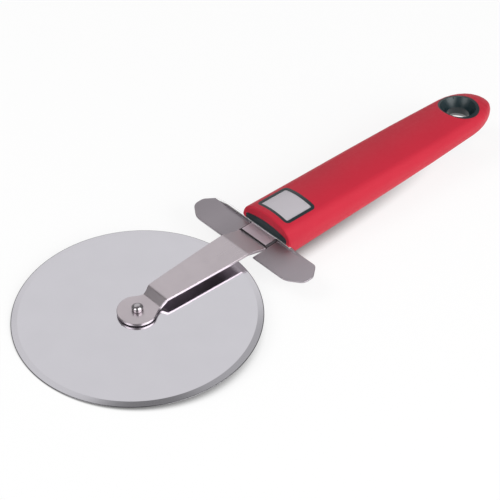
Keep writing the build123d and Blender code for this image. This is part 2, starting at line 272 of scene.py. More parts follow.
def strip_bends(corners, bend):
    """The arcs at a side line's inner corners: where each starts and ends, its centre and its side."""
    heading = np.diff(corners, axis=0)
    heading /= np.linalg.norm(heading, axis=1)[:, None]
    bends = []
    for corner, before, after in zip(corners[1:-1], heading, heading[1:]):
        turn = np.arctan2(before[0] * after[1] - before[1] * after[0], before @ after)
        reach = bend * np.tan(abs(turn) / 2)
        side = np.sign(turn)
        start = corner - reach * before
        centre = start + bend * side * np.array([-before[1], before[0]])
        bends.append((start[0], (corner + reach * after)[0], centre, side))
    return bends


def bent_height(x, corners, bend, offset):
    """Height at x of a bent strip's face, which is offset from its middle line: straight runs and arcs."""
    slope = np.diff(corners[:, 1]) / np.diff(corners[:, 0])
    run = np.clip(np.searchsorted(corners[:, 0], x) - 1, 0, len(slope) - 1)
    height = corners[run, 1] + slope[run] * (x - corners[run, 0]) + offset * np.sqrt(1 + slope[run] ** 2)
    for i, (_, _, centre, side) in enumerate(strip_bends(corners, bend)):
        radius = bend - side * offset
        low = centre[0] + side * radius * np.sin(np.arctan(slope[i]))
        high = centre[0] + side * radius * np.sin(np.arctan(slope[i + 1]))
        inside = (x >= min(low, high)) & (x <= max(low, high))
        across = np.clip((x - centre[0]) / radius, -1, 1)
        height = np.where(inside, centre[1] - side * radius * np.sqrt(1 - across ** 2), height)
    return height


def sheet_between(front, back, top, base, edge, steps=3):
    """A closed sheet between two outlines that run side by side.

    Each row joins a point of the front outline to its partner on the back outline. A row goes over the top
    face, down the rounded back edge, under the base face and up the rounded front edge. The rounding is a
    quarter circle of the edge radius, measured inwards along each outline's own normal. Heights come from
    the two faces, top(x, y) and base(x, y).
    """
    def inward(line, other):
        step = np.gradient(line, axis=0)
        step /= np.maximum(np.linalg.norm(step, axis=1), 1e-9)[:, None]
        normal = np.stack([-step[:, 1], step[:, 0]], -1)
        flip = np.sign(((other - line) * normal).sum(1) + 1e-9)
        return normal * flip[:, None]

    into_front, into_back = inward(front, back), inward(back, front)
    angle = np.linspace(0, np.pi / 2, steps + 1)
    loops = []
    for line, into, order in ((back, into_back, 1), (front, into_front, -1)):
        parts = []
        for a in angle:
            flat = line + edge * (1 - np.sin(a)) * into
            parts.append(np.column_stack([flat, top(*flat.T) - edge * (1 - np.cos(a))]))
        for a in angle[::-1]:
            flat = line + edge * (1 - np.sin(a)) * into
            parts.append(np.column_stack([flat, base(*flat.T) + edge * (1 - np.cos(a))]))
        loops.extend(parts[::order])
    return np.stack(loops, 1)


def linear(hex_colour, share=1.0):
    """An sRGB hex colour as linear red, green, blue and alpha, made lighter or darker by a share."""
    value = np.array([int(hex_colour[i:i + 2], 16) for i in (1, 3, 5)]) / 255
    value = np.where(value <= 0.04045, value / 12.92, ((value + 0.055) / 1.055) ** 2.4)
    return (*np.clip(value * share, 0, 1).tolist(), 1.0)


def add_node(tree, kind, settings=None):
    """Add one node. Each setting is a socket's or an attribute's value, or another node's output to link.

    A Mix node's sockets go by number, because its kinds share their names: the factor is 0, numbers are 2 and
    3 with output 0, and colours are 6 and 7 with output 2.
    """
    node = tree.nodes.new(kind)
    for key, value in (settings or {}).items():
        if isinstance(value, bpy.types.NodeSocket):
            tree.links.new(value, node.inputs[key])
        elif isinstance(key, int) or key in node.inputs:
            node.inputs[key].default_value = value
        else:
            setattr(node, key, value)
    return node


def new_material(name):
    """A material with an empty node tree, and that tree."""
    material = bpy.data.materials.new(name)
    material.use_nodes = True
    material.node_tree.nodes.clear()
    return material, material.node_tree


def give_surface(tree, settings):
    """Give a material its surface: one principled shader with these settings, joined to the output."""
    shader = add_node(tree, "ShaderNodeBsdfPrincipled", settings)
    add_node(tree, "ShaderNodeOutputMaterial", {"Surface": shader.outputs["BSDF"]})


def tool_space(tree):
    """Object coordinates on the level tool: metres from the axle, X along it and Z square to the blade."""
    place = add_node(tree, "ShaderNodeTexCoord")
    turn = Matrix(np.column_stack([ALONG, ACROSS, UPRIGHT]).tolist()).to_euler()
    level = add_node(tree, "ShaderNodeMapping", {"vector_type": "TEXTURE", "Location": tuple(AXLE),
                                                 "Rotation": tuple(turn), "Vector": place.outputs["Object"]})
    return level.outputs["Vector"]


def ring_marks(tree, place, pitch_mm):
    """Marks that run round the axle: noise on the distance from it. Gives the marks and that distance."""
    flat = add_node(tree, "ShaderNodeVectorMath", {"operation": "MULTIPLY", 0: place, 1: (1.0, 1.0, 0.0)})
    reach = add_node(tree, "ShaderNodeVectorMath", {"operation": "LENGTH", 0: flat.outputs["Vector"]})
    ring = add_node(tree, "ShaderNodeMath", {"operation": "MULTIPLY", 0: reach.outputs["Value"],
                                             1: 1 / (pitch_mm * MM)})
    marks = add_node(tree, "ShaderNodeTexNoise", {"noise_dimensions": "1D", "Scale": 1.0, "Detail": 2.0,
                                                  "W": ring.outputs["Value"]})
    return marks.outputs["Fac"], reach.outputs["Value"]


def all_hold(tree, tests):
    """A mask that is 1 where every test holds. A test is an operation, a distance and its limits in mm."""
    mask = 1.0
    for operation, distance, *limits in tests:
        limits = {socket: limit * MM for socket, limit in enumerate(limits, 1)}
        held = add_node(tree, "ShaderNodeMath", {"operation": operation, 0: distance, **limits})
        mask = add_node(tree, "ShaderNodeMath", {"operation": "MULTIPLY", 0: held.outputs["Value"],
                                                 1: mask}).outputs["Value"]
    return mask


def rolled_sheet(tree, place, colour, roughness, grain_mm, cloud_share):
    """Bright rolled stainless sheet (304, 2B finish): long faint lines lie along the strip, so that
    highlights draw out across them, and slow clouds of slightly duller steel break the reflections. The
    lines are drawn coarser than the real ones, so that they show. Gives the shade, roughness and normal."""
    cloud_mm, bump_mm = 9, 0.02
    squeeze = add_node(tree, "ShaderNodeMapping", {"Scale": (0.03, 1.0, 1.0), "Vector": place})
    grain = add_node(tree, "ShaderNodeTexNoise", {"Scale": 1 / (grain_mm * MM), "Detail": 3.0,
                                                  "Roughness": 0.6, "Vector": squeeze.outputs["Vector"]})
    clouds = add_node(tree, "ShaderNodeTexNoise", {"Scale": 1 / (cloud_mm * MM), "Detail": 2.0,
                                                   "Roughness": 0.5, "Vector": place})
    both = add_node(tree, "ShaderNodeMix", {"data_type": "FLOAT", 0: 0.45, 2: grain.outputs["Fac"],
                                            3: clouds.outputs["Fac"]})
    rough = add_node(tree, "ShaderNodeMapRange", {"From Min": 0.3, "From Max": 0.7,
                                                  "To Min": roughness * 0.88, "To Max": roughness * 1.12,
                                                  "Value": both.outputs[0]})
    dull = add_node(tree, "ShaderNodeMapRange", {"From Min": 0.35, "From Max": 0.65,
                                                 "Value": clouds.outputs["Fac"]})
    shade = add_node(tree, "ShaderNodeMix", {"data_type": "RGBA", 0: dull.outputs["Result"],
                                             6: linear(colour, 1 - cloud_share),
                                             7: linear(colour, 1 + cloud_share)})
    bump = add_node(tree, "ShaderNodeBump", {"Strength": 0.03, "Distance": bump_mm * MM,
                                             "Height": grain.outputs["Fac"]})
    return shade.outputs[2], rough.outputs["Result"], bump.outputs["Normal"]


def rolled_stainless_strip(colour):
    """The arm's rolled strip: bright where it runs level, and matt and slightly paler where the press has
    bent it down to the guard, so the ramp keeps an even tone."""
    bright_end_mm, matt_start_mm = 48.8, 50.4
    matt_roughness, matt_share = 0.6, 0.96
    material, tree = new_material("rolled_stainless_strip")
    place = tool_space(tree)
    shade, rough, normal = rolled_sheet(tree, place, colour, roughness=0.3, grain_mm=0.4, cloud_share=0.04)
    parts = add_node(tree, "ShaderNodeSeparateXYZ", {0: place})
    worked = add_node(tree, "ShaderNodeMapRange", {"From Min": bright_end_mm * MM,
                                                   "From Max": matt_start_mm * MM,
                                                   "Value": parts.outputs["X"]}).outputs["Result"]
    shade = add_node(tree, "ShaderNodeMix", {"data_type": "RGBA", 0: worked, 6: shade,
                                             7: linear(colour, matt_share)})
    rough = add_node(tree, "ShaderNodeMix", {"data_type": "FLOAT", 0: worked, 2: rough, 3: matt_roughness})
    give_surface(tree, {"Metallic": 1.0, "Base Color": shade.outputs[2], "Roughness": rough.outputs[0],
                        "Normal": normal})
    return material


def pressed_stainless_sheet(colour):
    """The guard's pressed sheet: painted reflections pale and darken its flat wings across the tool, as
    slightly bowed wings would show them, its bridge is matt and painted pale as painted light, painted shade
    darkens the crease round the bridge, and the lip's sheared edge is painted white as a highlight line."""
    # Painted reflections: distances across in mm, each with its share of the colour
    painted_reflection_tones = ((-30, 1.32), (-21, 1.2), (-10, 0.86), (10, 0.92), (19, 1.04), (30, 0.92))
    painted_reflection_strength, bridge_painted_light_share, crease_painted_shade_share = 0.8, 1.7, 0.22
    bridge_inner_mm, bridge_outer_mm, bridge_roughness, lip_roughness = 7.0, 8.4, 0.6, 0.15
    material, tree = new_material("pressed_stainless_sheet")
    place = tool_space(tree)
    shade, rough, normal = rolled_sheet(tree, place, colour, roughness=0.42, grain_mm=0.45, cloud_share=0.08)
    parts = add_node(tree, "ShaderNodeSeparateXYZ", {0: place})
    along, across = parts.outputs["X"], parts.outputs["Y"]
    aside = add_node(tree, "ShaderNodeMath", {"operation": "ABSOLUTE", 0: across}).outputs["Value"]

    first, last = painted_reflection_tones[0][0], painted_reflection_tones[-1][0]
    over = add_node(tree, "ShaderNodeMapRange", {"From Min": first * MM, "From Max": last * MM,
                                                 "Value": across})
    ramp = add_node(tree, "ShaderNodeValToRGB", {"Fac": over.outputs["Result"]})
    stops = ramp.color_ramp.elements
    while len(stops) < len(painted_reflection_tones):
        stops.new(0.5)
    for stop, (where, _) in zip(stops, painted_reflection_tones):
        stop.position = (where - first) / (last - first)
    for stop, (_, share) in zip(stops, painted_reflection_tones):
        stop.color = linear(colour, share)
    painted_reflection_mix = add_node(tree, "ShaderNodeMix", {"data_type": "RGBA", 0: painted_reflection_strength, 6: shade,
                                             7: ramp.outputs["Color"]})

    # Painted light: the bridge is painted 1.7 times paler, and it is also matt
    bridge = add_node(tree, "ShaderNodeMapRange", {"From Min": bridge_outer_mm * MM,
                                                   "From Max": bridge_inner_mm * MM,
                                                   "Value": aside}).outputs["Result"]
    # Painted shade: the crease along the bridge's front and its flanks is darkened to 0.22 of the colour
    crease_front = all_hold(tree, [("COMPARE", along, 59.3, 0.2), ("LESS_THAN", aside, 7.9)])
    crease_flank = all_hold(tree, [("COMPARE", aside, 7.35, 0.5), ("GREATER_THAN", along, 59.2)])
    crease = add_node(tree, "ShaderNodeMath", {"operation": "MAXIMUM", 0: crease_front, 1: crease_flank})
    # Painted highlight: the lip's top edge is painted white, and made glossier
    lip = all_hold(tree, [("GREATER_THAN", along, 65.1), ("GREATER_THAN", across, -14.6)])
    shade = painted_reflection_mix.outputs[2]
    for mask, tint in ((bridge, linear(colour, bridge_painted_light_share)),
                       (crease.outputs["Value"], linear(colour, crease_painted_shade_share)), (lip, linear("#FFFFFF"))):
        shade = add_node(tree, "ShaderNodeMix", {"data_type": "RGBA", 0: mask, 6: shade, 7: tint}).outputs[2]
    for mask, roughness in ((bridge, bridge_roughness), (lip, lip_roughness)):
        rough = add_node(tree, "ShaderNodeMix", {"data_type": "FLOAT", 0: mask, 2: rough,
                                                 3: roughness}).outputs[0]
    give_surface(tree, {"Metallic": 1.0, "Base Color": shade, "Roughness": rough, "Normal": normal})
    return material


def ground_stainless_sheet(colour, shoulder_mm, rim_mm):
    """The wheel's stainless sheet: polished faces with faint rolling lines, and past the shoulder a ground
    band whose fine marks run round the rim, so it is a little duller. The edge's last third of a millimetre
    turns away from the light and is drawn dark."""
    grain_mm, mark_mm, cloud_mm = 0.3, 0.12, 14
    shoulder_blur_mm, rim_start_mm, rim_full_mm = 0.05, 0.34, 0.2
    roughness, band_roughness, grain_turn = 0.06, 0.08, np.radians(34)
    material, tree = new_material("ground_stainless_sheet")
    place = tool_space(tree)
    squeeze = add_node(tree, "ShaderNodeMapping", {"Scale": (0.04, 1.0, 1.0), "Rotation": (0, 0, grain_turn),
                                                   "Vector": place})
    grain = add_node(tree, "ShaderNodeTexNoise", {"Scale": 1 / (grain_mm * MM), "Detail": 3.0,
                                                  "Roughness": 0.6, "Vector": squeeze.outputs["Vector"]})
    clouds = add_node(tree, "ShaderNodeTexNoise", {"Scale": 1 / (cloud_mm * MM), "Detail": 2.0,
                                                   "Roughness": 0.5, "Vector": place}).outputs["Fac"]
    marks, reach = ring_marks(tree, place, mark_mm)
    band = add_node(tree, "ShaderNodeMapRange", {"From Min": (shoulder_mm - shoulder_blur_mm) * MM,
                                                 "From Max": (shoulder_mm + shoulder_blur_mm) * MM,
                                                 "Value": reach}).outputs["Result"]
    rim = add_node(tree, "ShaderNodeMapRange", {"From Min": (rim_mm - rim_start_mm) * MM,
                                                "From Max": (rim_mm - rim_full_mm) * MM,
                                                "Value": reach}).outputs["Result"]
    height = add_node(tree, "ShaderNodeMix", {"data_type": "FLOAT", 0: band, 2: grain.outputs["Fac"],
                                              3: marks})
    soft = add_node(tree, "ShaderNodeMapRange", {"From Min": 0.35, "From Max": 0.65,
                                                 "To Min": roughness * 0.85, "To Max": roughness * 1.2,
                                                 "Value": clouds})
    rough = add_node(tree, "ShaderNodeMath", {"operation": "MULTIPLY_ADD", 0: band, 1: band_roughness,
                                              2: soft.outputs["Result"]})
    shade = linear(colour, 0.97)
    for mask, tint in ((clouds, 1.03), (band, 0.99), (rim, 0.4)):
        shade = add_node(tree, "ShaderNodeMix", {"data_type": "RGBA", 0: mask, 6: shade,
                                                 7: linear(colour, tint)}).outputs[2]
    bump = add_node(tree, "ShaderNodeBump", {"Strength": 0.05, "Distance": 0.02 * MM,
                                             "Height": height.outputs[0]})
    give_surface(tree, {"Metallic": 1.0, "Base Color": shade, "Roughness": rough.outputs["Value"],
                        "Normal": bump.outputs["Normal"]})
    return material


def turned_steel(name, colour, roughness, pitch_mm):
    """Turned and tumbled steel: faint rings round the axle, so a highlight breaks into short arcs."""
    material, tree = new_material(name)
    marks, _ = ring_marks(tree, tool_space(tree), pitch_mm)
    rough = add_node(tree, "ShaderNodeMapRange", {"To Min": roughness * 0.7, "To Max": roughness * 1.4,
                                                  "Value": marks})
    shade = add_node(tree, "ShaderNodeMix", {"data_type": "RGBA", 0: marks, 6: linear(colour, 0.94),
                                             7: linear(colour, 1.05)})
    bump = add_node(tree, "ShaderNodeBump", {"Strength": 0.15, "Distance": 0.02 * MM, "Height": marks})
    give_surface(tree, {"Metallic": 1.0, "Base Color": shade.outputs[2], "Roughness": rough.outputs["Result"],
                        "Normal": bump.outputs["Normal"]})
    return material


def soft_touch_rubber(colour):
    """Moulded thermoplastic rubber (about 60 Shore A) with a spark-eroded skin: a fine even grain of 0.2 mm
    takes the gloss off, dust makes the shine patchy, and its red drifts a little."""
    grain_mm, drift_mm, dust_mm = 0.2, 22, 1.4
    material, tree = new_material("red_soft_touch_rubber")
    place = add_node(tree, "ShaderNodeTexCoord").outputs["Object"]
    grain = add_node(tree, "ShaderNodeTexVoronoi", {"Scale": 1 / (grain_mm * MM), "feature": "SMOOTH_F1",
                                                    "Smoothness": 1.0, "Vector": place})
    drift = add_node(tree, "ShaderNodeTexNoise", {"Scale": 1 / (drift_mm * MM), "Detail": 2.0,
                                                  "Vector": place})
    dust = add_node(tree, "ShaderNodeTexNoise", {"Scale": 1 / (dust_mm * MM), "Detail": 4.0, "Roughness": 0.7,
                                                 "Vector": place})
    shade = add_node(tree, "ShaderNodeMix", {"data_type": "RGBA", 0: drift.outputs["Fac"],
                                             6: linear(colour, 0.94), 7: linear(colour, 1.06)})
    rough = add_node(tree, "ShaderNodeMapRange", {"From Min": 0.3, "From Max": 0.7, "To Min": 0.42,
                                                  "To Max": 0.56, "Value": dust.outputs["Fac"]})
    bump = add_node(tree, "ShaderNodeBump", {"Strength": 0.22, "Distance": 0.03 * MM,
                                             "Height": grain.outputs["Distance"]})
    give_surface(tree, {"IOR": 1.5, "Specular IOR Level": 0.3, "Base Color": shade.outputs[2],
                        "Roughness": rough.outputs["Result"], "Normal": bump.outputs["Normal"]})
    return material


def glossy_moulded_abs(colour):
    """Injection-moulded ABS from a polished tool: glossy and dark, with a very slight orange peel."""
    peel_mm, haze_mm, roughness = 1.6, 5, 0.32
    material, tree = new_material("glossy_moulded_abs")
    place = add_node(tree, "ShaderNodeTexCoord").outputs["Object"]
    peel = add_node(tree, "ShaderNodeTexNoise", {"Scale": 1 / (peel_mm * MM), "Detail": 1.0, "Vector": place})
    haze = add_node(tree, "ShaderNodeTexNoise", {"Scale": 1 / (haze_mm * MM), "Detail": 3.0, "Vector": place})
    rough = add_node(tree, "ShaderNodeMapRange", {"To Min": roughness * 0.8, "To Max": roughness * 1.3,
                                                  "Value": haze.outputs["Fac"]})
    shade = add_node(tree, "ShaderNodeMix", {"data_type": "RGBA", 0: haze.outputs["Fac"],
                                             6: linear(colour, 0.9), 7: linear(colour, 1.1)})
    bump = add_node(tree, "ShaderNodeBump", {"Strength": 0.08, "Distance": 0.05 * MM,
                                             "Height": peel.outputs["Fac"]})
    give_surface(tree, {"IOR": 1.54, "Base Color": shade.outputs[2], "Roughness": rough.outputs["Result"],
                        "Normal": bump.outputs["Normal"]})
    return material


def satin_anodised_aluminium(colour):
    """Satin anodised aluminium sheet, brushed across the handle: hair lines 0.15 mm apart spread its shine.
    Its clear oxide shows as a share of plain diffuse light, so it is less than fully metallic."""
    line_mm = 0.15
    material, tree = new_material("satin_anodised_aluminium")
    place = add_node(tree, "ShaderNodeTexCoord")
    squeeze = add_node(tree, "ShaderNodeMapping", {"Scale": (1.0, 0.02, 0.02),
                                                   "Vector": place.outputs["Object"]})
    lines = add_node(tree, "ShaderNodeTexNoise", {"Scale": 1 / (line_mm * MM), "Detail": 3.0,
                                                  "Vector": squeeze.outputs["Vector"]}).outputs["Fac"]
    rough = add_node(tree, "ShaderNodeMapRange", {"To Min": 0.46, "To Max": 0.62, "Value": lines})
    shade = add_node(tree, "ShaderNodeMix", {"data_type": "RGBA", 0: lines, 6: linear(colour, 0.95),
                                             7: linear(colour, 1.04)})
    bump = add_node(tree, "ShaderNodeBump", {"Strength": 0.12, "Distance": 0.02 * MM, "Height": lines})
    give_surface(tree, {"Metallic": 0.45, "Base Color": shade.outputs[2],
                        "Roughness": rough.outputs["Result"], "Normal": bump.outputs["Normal"]})
    return material


def acrylic_foam_tape(colour):
    """Closed-cell acrylic foam tape: matt and dark, with cells about 0.25 mm across."""
    cell_mm = 0.25
    material, tree = new_material("acrylic_foam_tape")
    place = add_node(tree, "ShaderNodeTexCoord")
    cells = add_node(tree, "ShaderNodeTexVoronoi", {"Scale": 1 / (cell_mm * MM),
                                                    "Vector": place.outputs["Object"]}).outputs["Distance"]
    shade = add_node(tree, "ShaderNodeMix", {"data_type": "RGBA", 0: cells, 6: linear(colour, 0.7),
                                             7: linear(colour, 1.2)})
    bump = add_node(tree, "ShaderNodeBump", {"Strength": 0.4, "Distance": 0.05 * MM, "Height": cells})
    give_surface(tree, {"Roughness": 0.85, "Base Color": shade.outputs[2], "Normal": bump.outputs["Normal"]})
    return material


def matt_white_laminate():
    """The white table. It lights the tool as a matt white does, while what the camera and mirrors see is
    half matt and half a white glow that dims only within 8 mm of the tool, as in a bright photograph."""
    shade_reach, shade_dark, shade_light = 8 * MM, 0.05, 0.85
    glow_dark, glow_light = 0.06, 0.82
    material, tree = new_material("matt_white_laminate")
    seen = add_node(tree, "ShaderNodeLightPath")
    matt = add_node(tree, "ShaderNodeBsdfDiffuse", {"Color": linear("#F4F4F4")})
    half_matt = add_node(tree, "ShaderNodeBsdfDiffuse", {"Color": linear("#7C7C7C")})
    # Painted contact shadow: the glow dims where ambient occlusion finds the tool within 8 mm
    near = add_node(tree, "ShaderNodeAmbientOcclusion", {"Distance": shade_reach})
    painted_contact_shadow = add_node(tree, "ShaderNodeMapRange", {"interpolation_type": "SMOOTHSTEP",
                                                "From Min": shade_dark, "From Max": shade_light,
                                                "To Min": glow_dark, "To Max": glow_light,
                                                "Value": near.outputs["AO"]})
    glow = add_node(tree, "ShaderNodeEmission", {"Color": linear("#FFFFFF"),
                                                 "Strength": painted_contact_shadow.outputs["Result"]})
    both = add_node(tree, "ShaderNodeAddShader", {0: half_matt.outputs["BSDF"], 1: glow.outputs["Emission"]})
    viewed = add_node(tree, "ShaderNodeMath", {"operation": "MAXIMUM", 0: seen.outputs["Is Camera Ray"],
                                               1: seen.outputs["Is Glossy Ray"]})
    choose = add_node(tree, "ShaderNodeMixShader", {0: viewed.outputs["Value"], 1: matt.outputs["BSDF"],
                                                    2: both.outputs["Shader"]})
    add_node(tree, "ShaderNodeOutputMaterial", {"Surface": choose.outputs["Shader"]})
    return material


def set_material(piece, material):
    """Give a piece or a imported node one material."""
    piece.data.materials.clear()
    piece.data.materials.append(material)


class PIZZA_OT_blade(bpy.types.Operator):
    """Turn the cutting wheel: a flat disc with a ground band and a fine rounded edge"""
    bl_idname = "pizza.blade"
    bl_label = "Blade"

    def execute(self, context):
        size = in_millimetres(context.scene.pizza_blade)
        half, edge = size.thickness / 2, size.edge / 2
        shoulder = size.radius - size.grind
        # The corners' rounding, the flats beside them, which keep the shading level, and the shoulder's drop
        soft, bore_flat, shoulder_flat, shoulder_drop = 0.05, 0.4, 1.0, 0.01
        # Where the grind meets the edge, how much higher it is there, and how the edge closes
        bevel_end, bevel_rise, edge_round, edge_share = 0.3, 0.05, 0.08, 0.4
        upper = [(size.bore, half - soft), (size.bore + soft, half), (size.bore + bore_flat, half),
                 (shoulder - shoulder_flat, half), (shoulder - soft, half),
                 (shoulder + soft, half - shoulder_drop), (size.radius - bevel_end, edge + bevel_rise),
                 (size.radius - edge_round, edge), (size.radius, edge * edge_share)]
        profile = upper + [(radius, -height) for radius, height in reversed(upper)]
        piece = lathe("cutting_wheel", profile, "wheel", "blade", turns=256)
        set_material(piece, ground_stainless_sheet(size.steel, shoulder, size.radius))
        return {"FINISHED"}


def lower_head_profile(size):
    """The rivet's lower head as points (radius, height) from its crown up: a low dome that falls by a power
    of the distance out, a short wall and a bevel against the washer."""
    wall, bevel_in, bevel_drop, dome_power = 0.2, 0.1, 0.08, 2.4
    out_share = np.linspace(0, 1, 18)
    dome = np.stack([size.head_radius * out_share, -size.head_depth - wall
                     - (size.head_height - wall) * (1 - out_share ** dome_power)], -1)
    collar = [(size.head_radius, -size.head_depth - bevel_drop),
              (size.head_radius - bevel_in, -size.head_depth), (size.shank, -size.head_depth)]
    return np.concatenate([dome, collar])


def button_profile(size):
    """The rivet's button as points (radius, height) from the eye up: an undercut foot, a straight wall, a
    rounded corner, and a dome that rises to its crown by a power of the distance out."""
    undercut, waist_in, waist_rise, wall_start = 0.25, 0.05, 0.12, 0.3
    soft, corner_drop, dome_power = 0.12, 0.05, 3.2
    foot = [(size.shank, size.button_foot), (size.button_radius - undercut, size.button_foot),
            (size.button_radius - waist_in, size.button_foot + waist_rise),
            (size.button_radius, size.button_foot + wall_start)]
    corner = np.array([size.button_radius - soft, size.wall_top - corner_drop])
    turn = np.linspace(0, np.pi / 2, 9)[:, None]
    corner_arc = corner + soft * np.hstack([np.cos(turn), np.sin(turn)])
    in_share = np.linspace(0, 1, 14)[1:]
    dome_start = corner[1] + soft
    dome = np.stack([corner[0] * (1 - in_share), dome_start + (size.button_top - dome_start)
                     * (1 - (1 - in_share) ** dome_power)], -1)
    return np.concatenate([foot, corner_arc, dome])


class PIZZA_OT_axle(bpy.types.Operator):
    """Turn the rivet, with its domed button and its low lower head, and finish the bush and the washers"""
    bl_idname = "pizza.axle"
    bl_label = "Axle"

    def execute(self, context):
        size = in_millimetres(context.scene.pizza_rivet)
        profile = np.concatenate([lower_head_profile(size), button_profile(size)])
        piece = lathe("axle_button", profile, "frame", "axle_rivet", turns=96, closed=False)
        set_material(piece, turned_steel("turned_steel", size.steel, roughness=0.12, pitch_mm=0.12))
        plated = turned_steel("zinc_plated_steel", size.plating, roughness=0.28, pitch_mm=0.2)
        for node in ("axle_bush", "upper_washer", "lower_washer"):
            set_material(frame["nodes"][node], plated)
        return {"FINISHED"}


def arm_edge(size, tang_start):
    """The arm's left edge seen from above: round the eye, in a smooth curve through the neck and along the
    crank to the shoulder, and past the ramp along the narrower tang."""
    # Rows are close round the jog and the ramp, and the strip steps in to the tang within the last one
    eye_end, jog_margin, step = 1.6, 1.0, 0.05
    angle = np.linspace(np.pi, np.arccos(eye_end / size.eye_radius), 44, endpoint=False)
    eye = size.eye_radius * np.column_stack([np.cos(angle), np.sin(angle)])
    stations = (eye_end, size.jog_start - jog_margin, size.jog_end + jog_margin, size.ramp_start,
                tang_start - step, tang_start, size.tang_end)
    counts = (28, 60, 90, 60, 2, 14)
    runs = [np.linspace(start, end, count, endpoint=False)
            for start, end, count in zip(stations, stations[1:], counts)]
    x = np.append(np.concatenate(runs), size.tang_end)

    # Half widths: on the eye's circle, and then wider than the neck, the crank, or the mean of crank and
    # shoulder. Each of those knots is a distance from the axle and how much wider the strip is there.
    neck_knots = [(3.2, 1.92), (4.5, 1.08), (5.8, 0.38), (7.1, 0.05), (8.2, 0.02), (9.6, 0.35)]
    crank_knots = [(11.5, 0.0), (15.0, 0.25)]
    mean_knots = [(30.0, 0.1)]
    eye_xs, level_run = np.array([eye_end - 1.0, eye_end]), 4.0
    neck, crank, shoulder = size.neck / 2, size.crank / 2, size.shoulder / 2
    knots = [*zip(eye_xs, np.sqrt(size.eye_radius ** 2 - eye_xs ** 2))]
    for half_width, own_knots in ((neck, neck_knots), (crank, crank_knots),
                                  ((crank + shoulder) / 2, mean_knots)):
        knots += [(where, half_width + wider) for where, wider in own_knots]
    knots += [(where, shoulder) for where in (size.ramp_start, size.ramp_start + level_run, tang_start)]
    side = np.where(x < tang_start - step / 5, smooth_line(x, knots), size.tang / 2)
    return np.concatenate([eye, np.column_stack([x, side])])


class PIZZA_OT_arm(bpy.types.Operator):
    """Press the arm: an eye, a jog over the blade, a level crank, a ramp and the tang"""
    bl_idname = "pizza.arm"
    bl_label = "Arm"

    def execute(self, context):
        size = in_millimetres(context.scene.pizza_arm)
        half, overrun = size.sheet / 2, 1.0
        corners = np.array([(-size.eye_radius - overrun, size.eye_base), (size.jog_start, size.eye_base),
                            (size.jog_end, size.crank_base), (size.ramp_start, size.crank_base),
                            (size.ramp_end, size.tang_base), (size.tang_end, size.tang_base)]) + (0, half)

        def top(x, y):
            return bent_height(x, corners, size.bend, half)

        def base(x, y):
            return bent_height(x, corners, size.bend, -half)

        left = arm_edge(size, strip_bends(corners, size.bend)[-1][1])
        right = left * (1, -1)
        points = sheet_between(right, left, top, base, size.edge)
        rows, columns = points.shape[:2]
        faces = grid_faces(rows, columns, wrap_columns=True)
        faces.append([(rows - 1) * columns + i for i in range(columns)])
        piece = add_mesh("cranked_arm", points.reshape(-1, 3), faces, "frame", "arm")
        set_material(piece, rolled_stainless_strip(size.steel))
        return {"FINISHED"}


def guard_edges(size):
    """The left wing's front edge, out to its tip, and its rear edge, from the tip back in: straight runs
    joined by arcs."""
    corners = [(size.front, size.front_half), (size.front + size.tip_start, size.half_span),
               (size.front + size.tip_end, size.half_span), (size.rear, size.rear_half)]
    radii = [7.0, 4.0, 3.4, 2.6]
    outline = rounded_outline(corners + [(x, -y) for x, y in reversed(corners)], radii + radii[::-1])
    side = outline[outline[:, 1] > 0]
    first, last = np.flatnonzero(side[:, 1] > side[:, 1].max() - 1e-6)[[0, -1]]
    return side[:first + 1], side[last:]


def guard_grid(size, fore, aft):
    """The guard's points seen from above, in rows across the tool and columns along it. Gives their x, their
    y and how many columns lie ahead of the notch's end."""
    rounding = size.edge * (1 - np.sin(np.linspace(np.pi / 2, 0, 4)))
    # Rows, from the tips inwards: close at the tips, the notch and the bridge's flanks
    tip, tip_foot, bridge_flat = fore[-1, 1], 26.5, 6.2
    half_rows = np.unique(np.round(np.concatenate([
        tip - rounding, np.linspace(tip - size.edge, tip_foot, 26),
        np.linspace(tip_foot, size.notch_half + size.edge, 32), size.notch_half + rounding,
        np.linspace(size.notch_half, bridge_flat, 26), np.linspace(bridge_flat, 0, 7)]), 5))
    y = np.concatenate([-half_rows[:0:-1], half_rows])
    reach = np.abs(y)

    # Columns, from the front edge back: up to the notch's end, past it, and on the lip, whose steps are
    # measured in from the rear edge and widened where that edge slants
    lip_steps = np.array([1.7, 1.5, 1.4, 1.33, 1.26, 1.19, 1.12, 1.05, 0.98, 0.9, 0.65, 0.4])
    lip_steps = np.concatenate([lip_steps, rounding[::-1]])
    widest_slant = 2.2
    front_x = np.interp(reach, fore[:, 1], fore[:, 0])[:, None]
    rear_x = np.interp(-reach, -aft[:, 1], aft[:, 0])
    slant = np.clip(np.sqrt(1 + np.gradient(rear_x, y) ** 2), 1, widest_slant)
    fore_span = size.notch_end - front_x - 2 * size.edge
    fore_part = np.concatenate([front_x + rounding,
                                front_x + size.edge + fore_span * np.linspace(0, 1, 14)[1:]], 1)
    lip_part = rear_x[:, None] - slant[:, None] * lip_steps
    start = size.notch_end + rounding
    middle = start[-1] + (lip_part[:, :1] - start[-1]) * np.linspace(0, 1, 9)[1:-1]
    x = np.concatenate([fore_part, start + 0 * front_x, middle, lip_part], 1)
    x = np.maximum.accumulate(x, axis=1)
    return x, np.broadcast_to(y[:, None], x.shape), fore_part.shape[1]


